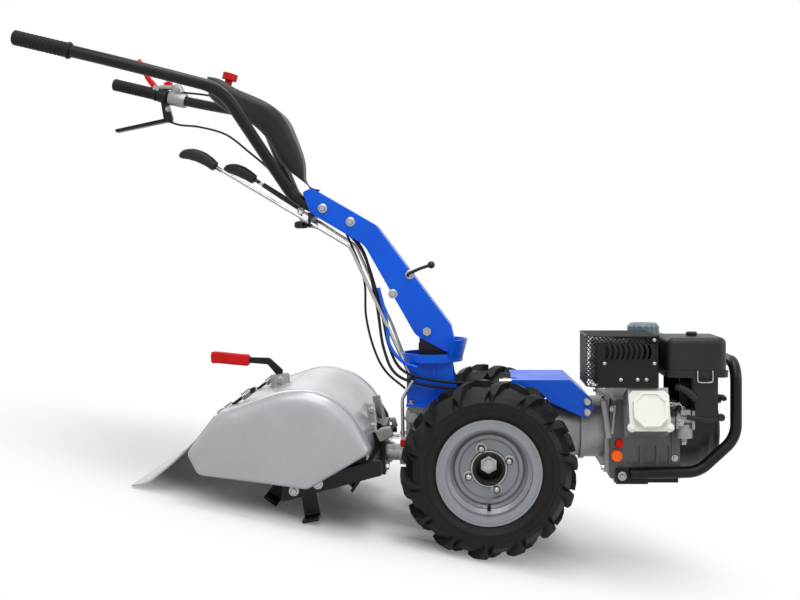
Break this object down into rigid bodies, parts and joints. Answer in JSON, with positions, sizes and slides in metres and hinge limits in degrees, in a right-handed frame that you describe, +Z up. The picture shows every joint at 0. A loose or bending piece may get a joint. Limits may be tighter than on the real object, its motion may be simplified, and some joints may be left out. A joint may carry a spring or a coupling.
{
  "type": "walking tractor with rear tiller",
  "caption": "Two wheel walking tractor with a front petrol engine, a tilting handlebar and a rear rotary tiller under a hinged hood flap.",
  "frame": {"origin": "middle of the machine's outline, on the ground it is parked on", "axes": "+X forward towards the engine, +Y to the machine's left, +Z up; the machine is parked leaning back on its tines"},
  "size_m": [1.769, 0.6332, 0.9821],
  "materials": {
    "tyre": "dull moulded rubber with chevron lugs",
    "rim_grey": "silver grey paint on pressed steel",
    "black_paint": "satin black paint",
    "blue_paint": "glossy blue enamel",
    "silver_paint": "silver grey paint on sheet steel",
    "cast_aluminium": "as cast aluminium",
    "dark_casting": "dark grey paint on cast aluminium",
    "steel": "zinc plated steel",
    "black_plastic": "grained black plastic",
    "rubber": "soft black rubber",
    "red_plastic": "smooth red plastic",
    "ivory_paint": "ivory paint on pressed steel",
    "cap_plastic": "grey blue plastic",
    "orange_plastic": "orange plastic plug",
    "engine_block": "die cast aluminium"
  },
  "bodies": {
    "chassis": {"gearbox": "cast_aluminium", "clutch_housing": "cast_aluminium", "clutch_cover": "blue_paint", "pto_collar": "steel", "handlebar_mount": "blue_paint", "turret": "black_paint", "crankcase": "dark_casting", "cylinder": "engine_block", "valve_cover": "ivory_paint", "muffler": "black_paint", "muffler_guard": "black_paint", "air_filter": "black_plastic", "carburettor": "cast_aluminium", "fan_housing": "black_plastic", "fuel_tank": "black_plastic", "fuel_cap": "cap_plastic", "engine_mount": "black_paint", "oil_plug": "orange_plastic", "bumper": "black_paint", "tiller_gearcase": "black_paint", "tiller_hood": "silver_paint", "side_plate_left": "silver_paint", "side_plate_right": "silver_paint", "rail_left": "black_paint", "rail_right": "black_paint", "tiller_cross": "black_paint", "flap_hinge": "steel", "lever_bracket": "steel", "depth_lever": "black_paint", "lever_grip": "red_plastic", "shift_link": "steel", "control_cables": "rubber"},
    "wheel_left": {"tyre_left": "tyre", "rim_left": "rim_grey", "hub_left": "black_paint", "wheel_nuts_left": "steel", "half_axle_left": "steel", "valve_stem_left": "rubber"},
    "wheel_right": {"tyre_right": "tyre", "rim_right": "rim_grey", "hub_right": "black_paint", "wheel_nuts_right": "steel", "half_axle_right": "steel", "valve_stem_right": "rubber"},
    "tiller_rotor": {"rotor_shaft": "black_paint", "tines_left": "black_paint", "tines_right": "black_paint"},
    "rear_flap": {"rear_flap": "silver_paint"},
    "handlebar": {"column": "blue_paint", "pivot_bolt": "steel", "handle_left": "black_paint", "handle_right": "black_paint", "grip_left": "rubber", "grip_right": "rubber", "console": "black_plastic", "choke_knob": "red_plastic", "selector_rods": "steel", "selector_knobs": "black_plastic", "rod_guide": "black_paint", "hand_lever": "black_paint"}
  },
  "joints": [
    {"name": "wheel_left_turn", "type": "hinge", "parent": "chassis", "child": "wheel_left", "pos_m": [0.3251, 0.164, 0.2025], "axis": [0, 1, 0], "continuous": true},
    {"name": "wheel_right_turn", "type": "hinge", "parent": "chassis", "child": "wheel_right", "pos_m": [0.3251, -0.164, 0.2025], "axis": [0, 1, 0], "continuous": true},
    {"name": "rotor_turn", "type": "hinge", "parent": "chassis", "child": "tiller_rotor", "pos_m": [-0.1005, 0, 0.1427], "axis": [0, 1, 0], "continuous": true},
    {"name": "flap_lift", "type": "hinge", "parent": "chassis", "child": "rear_flap", "pos_m": [-0.301, 0, 0.19698], "axis": [0, 1, 0], "range_deg": [0, 60]},
    {"name": "handlebar_height", "type": "hinge", "parent": "chassis", "child": "handlebar", "pos_m": [0.11597, 0, 0.46898], "axis": [0, 1, 0], "range_deg": [-12, 8], "deforming": ["control_cables"]}
  ]
}
